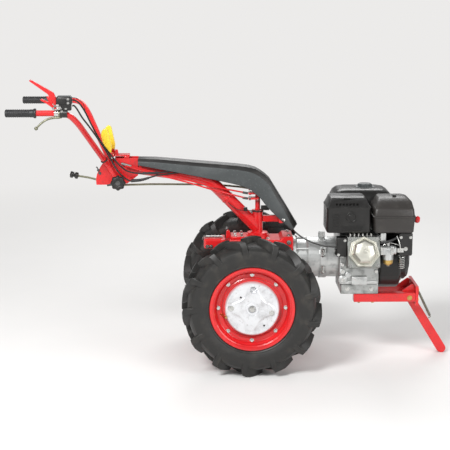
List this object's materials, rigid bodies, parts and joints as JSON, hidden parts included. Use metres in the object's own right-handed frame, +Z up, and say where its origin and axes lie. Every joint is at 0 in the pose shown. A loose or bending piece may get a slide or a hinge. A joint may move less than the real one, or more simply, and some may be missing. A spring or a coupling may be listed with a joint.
{
  "type": "walking tractor",
  "caption": "Two-wheel walking tractor: petrol engine and gearbox on lugged wheels, turning handlebar column, folding front stand.",
  "frame": {"origin": "on the ground, in the middle of the whole machine's box", "axes": "+X forward to the engine end, +Y to the tractor's left, +Z up"},
  "size_m": [1.8955, 0.756, 1.2454],
  "materials": {
    "red_paint": "glossy red enamel",
    "engine_metal": "as-cast aluminium",
    "valve_cover_metal": "warm silver paint",
    "black_paint": "satin black",
    "black_plastic": "moulded, semi-matt",
    "grey_plastic": "moulded dark grey",
    "yellow_plastic": "moulded",
    "zinc_steel": "zinc plated",
    "grip_rubber": "matt",
    "tyre_rubber": "matt",
    "disc_aluminium": "bright cast"
  },
  "bodies": {
    "chassis": {"gearbox_housing": "red_paint", "axle_tube_left": "red_paint", "axle_tube_right": "red_paint", "rear_hitch": "red_paint", "clutch_housing": "engine_metal", "clamp_ring": "engine_metal", "engine_adapter": "engine_metal", "engine_base": "engine_metal", "crankcase": "engine_metal", "cylinder_block": "engine_metal", "valve_cover": "valve_cover_metal", "muffler_guard": "black_paint", "air_cleaner": "black_plastic", "fuel_tank": "black_paint", "fuel_cap": "black_plastic", "carburettor": "engine_metal", "intake_duct": "black_plastic", "fan_shroud": "black_paint", "recoil_starter": "black_plastic", "starter_handle": "black_plastic", "bracket_bar_left": "red_paint", "bracket_bar_right": "red_paint", "front_plate": "red_paint", "stand_spring": "zinc_steel", "throttle_cable_lower": "black_plastic"},
    "column": {"steering_post": "red_paint", "column_tube": "red_paint", "yoke_left": "red_paint", "yoke_right": "red_paint", "linkage_cover": "grey_plastic", "cover_bracket": "red_paint", "selector_shaft": "red_paint", "lever_support": "red_paint", "gear_lever_left": "yellow_plastic", "gear_lever_right": "yellow_plastic", "shift_rod_upper": "red_paint", "shift_rod_lower": "red_paint", "pto_rod": "zinc_steel", "clutch_cable": "black_plastic", "throttle_cable_upper": "black_plastic"},
    "handlebar": {"handle_tube_left": "red_paint", "quadrant_left": "red_paint", "grip_left": "grip_rubber", "handle_tube_right": "red_paint", "quadrant_right": "red_paint", "grip_right": "grip_rubber", "clamp_knob": "black_plastic", "handlebar_brace": "red_paint", "lever_housing": "black_plastic", "clutch_lever": "red_paint", "brake_lever": "zinc_steel"},
    "stand": {"stand_leg": "red_paint"},
    "wheel_left": {"tyre_left": "tyre_rubber", "rim_left": "red_paint", "hub_disc_left": "disc_aluminium", "wheel_hub_left": "zinc_steel"},
    "wheel_right": {"tyre_right": "tyre_rubber", "rim_right": "red_paint", "hub_disc_right": "disc_aluminium", "wheel_hub_right": "zinc_steel"}
  },
  "joints": [
    {"name": "wheel_left_spin", "type": "hinge", "parent": "chassis", "child": "wheel_left", "pos_m": [0.06525, 0.3, 0.295], "axis": [0, 1, 0], "continuous": true},
    {"name": "wheel_right_spin", "type": "hinge", "parent": "chassis", "child": "wheel_right", "pos_m": [0.06525, -0.3, 0.295], "axis": [0, 1, 0], "continuous": true},
    {"name": "steering_turn", "type": "hinge", "parent": "chassis", "child": "column", "pos_m": [0.10175, 0, 0.545], "axis": [0, 0, 1], "range_deg": [-15, 15], "deforming": ["throttle_cable_lower"]},
    {"name": "handlebar_tilt", "type": "hinge", "parent": "column", "child": "handlebar", "pos_m": [-0.50175, 0, 0.789], "axis": [0, 1, 0], "range_deg": [-15, 15], "deforming": ["clutch_cable", "throttle_cable_upper"]},
    {"name": "stand_fold", "type": "hinge", "parent": "chassis", "child": "stand", "pos_m": [0.77725, 0, 0.262], "axis": [0, 1, 0], "range_deg": [0, 115], "deforming": ["stand_spring"]}
  ]
}
